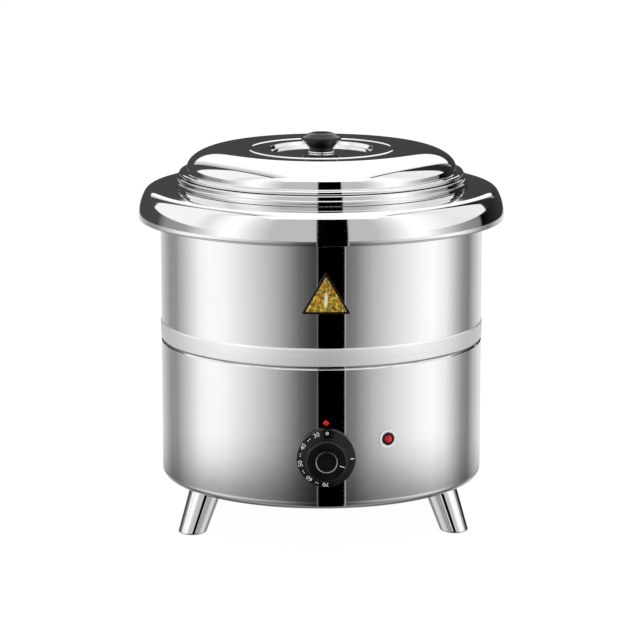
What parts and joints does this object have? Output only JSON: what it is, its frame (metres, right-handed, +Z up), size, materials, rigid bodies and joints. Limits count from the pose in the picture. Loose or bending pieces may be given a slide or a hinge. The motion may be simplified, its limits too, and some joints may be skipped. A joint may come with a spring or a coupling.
{
  "type": "electric soup kettle",
  "caption": "Round electric soup kettle: polished drum on splayed legs, wide rolled collar, hinged domed lid, lift-out pot, thermostat dial and pilot lamp.",
  "frame": {"origin": "centre of the drum's axis on the surface that the three feet stand on", "axes": "+Z up along the drum's axis, -Y towards the front with the dial, pilot lamp and badge, +Y towards the lid hinge and the cable gland, +X to the right seen from the front"},
  "size_m": [0.362, 0.362, 0.387],
  "materials": {
    "mirror_steel": "mirror-polished stainless steel",
    "satin_steel": "satin stainless steel",
    "chrome": "bright chrome plate",
    "aluminium": "cast and machined",
    "brass": "plain",
    "black_moulding": "glossy black phenolic",
    "badge_black": "gloss black print",
    "badge_gold": "gold foil with a fine pattern",
    "red_lens": "translucent red",
    "red_enamel": "gloss",
    "black_rubber": "matt",
    "insulation": "mineral wool blanket",
    "ceramic": "steatite",
    "white_nylon": "plain",
    "wire_red": "silicone sleeve",
    "wire_white": "glass-fibre sleeve",
    "wire_black": "silicone sleeve"
  },
  "bodies": {
    "base": {"outer_shell": "mirror_steel", "base_plate": "satin_steel", "water_well": "satin_steel", "element_clamp": "satin_steel", "heating_element": "satin_steel", "thermostat_screw_1": "satin_steel", "thermostat_screw_2": "satin_steel", "leg_bolt_1": "satin_steel", "leg_bolt_2": "satin_steel", "leg_bolt_3": "satin_steel", "base_screw_1": "satin_steel", "base_screw_2": "satin_steel", "base_screw_3": "satin_steel", "leg_1": "chrome", "leg_2": "chrome", "leg_3": "chrome", "lamp_washer": "white_nylon", "element_plate": "aluminium", "clamp_nut": "brass", "sensing_bulb": "brass", "capillary_tube": "brass", "earth_stud": "brass", "lamp_bezel": "black_moulding", "lamp_body": "black_moulding", "thermostat_body": "black_moulding", "thermal_cutout": "black_moulding", "cable_gland": "black_moulding", "gland_nut": "black_moulding", "badge_frame": "badge_black", "badge_face": "badge_gold", "lamp_lens": "red_lens", "index_mark": "red_enamel", "foot_pad_1": "black_rubber", "foot_pad_2": "black_rubber", "foot_pad_3": "black_rubber", "gland_seal": "black_rubber", "insulation_wrap": "insulation", "terminal_block": "ceramic", "wire_live": "wire_red", "wire_heater": "wire_white", "wire_neutral": "wire_black"},
    "pot": {"soup_pot": "satin_steel"},
    "lid_ring": {"collar": "mirror_steel", "neck_ring": "mirror_steel", "hinge_bracket": "satin_steel", "hinge_pin": "satin_steel", "bracket_rivet_1": "satin_steel", "bracket_rivet_2": "satin_steel"},
    "lid": {"lid_dome": "mirror_steel", "lid_knob": "black_moulding", "knob_ferrule": "chrome", "knob_screw": "satin_steel", "knob_washer": "satin_steel", "hinge_leaf": "satin_steel", "leaf_rivet_1": "satin_steel", "leaf_rivet_2": "satin_steel"},
    "dial": {"dial": "black_moulding", "dial_cap": "black_moulding", "thermostat_shaft": "satin_steel"}
  },
  "joints": [
    {"name": "pot_lift", "type": "slide", "parent": "base", "child": "pot", "axis": [0, 0, 1], "range_m": [0, 0.21]},
    {"name": "ring_lift", "type": "slide", "parent": "pot", "child": "lid_ring", "axis": [0, 0, 1], "range_m": [0, 0.06]},
    {"name": "lid_hinge", "type": "hinge", "parent": "lid_ring", "child": "lid", "pos_m": [0, 0.1505, 0.351], "axis": [-1, 0, 0], "range_deg": [0, 100]},
    {"name": "dial_turn", "type": "hinge", "parent": "base", "child": "dial", "pos_m": [0, -0.17, 0.0965], "axis": [0, 1, 0], "range_deg": [0, 270]}
  ]
}
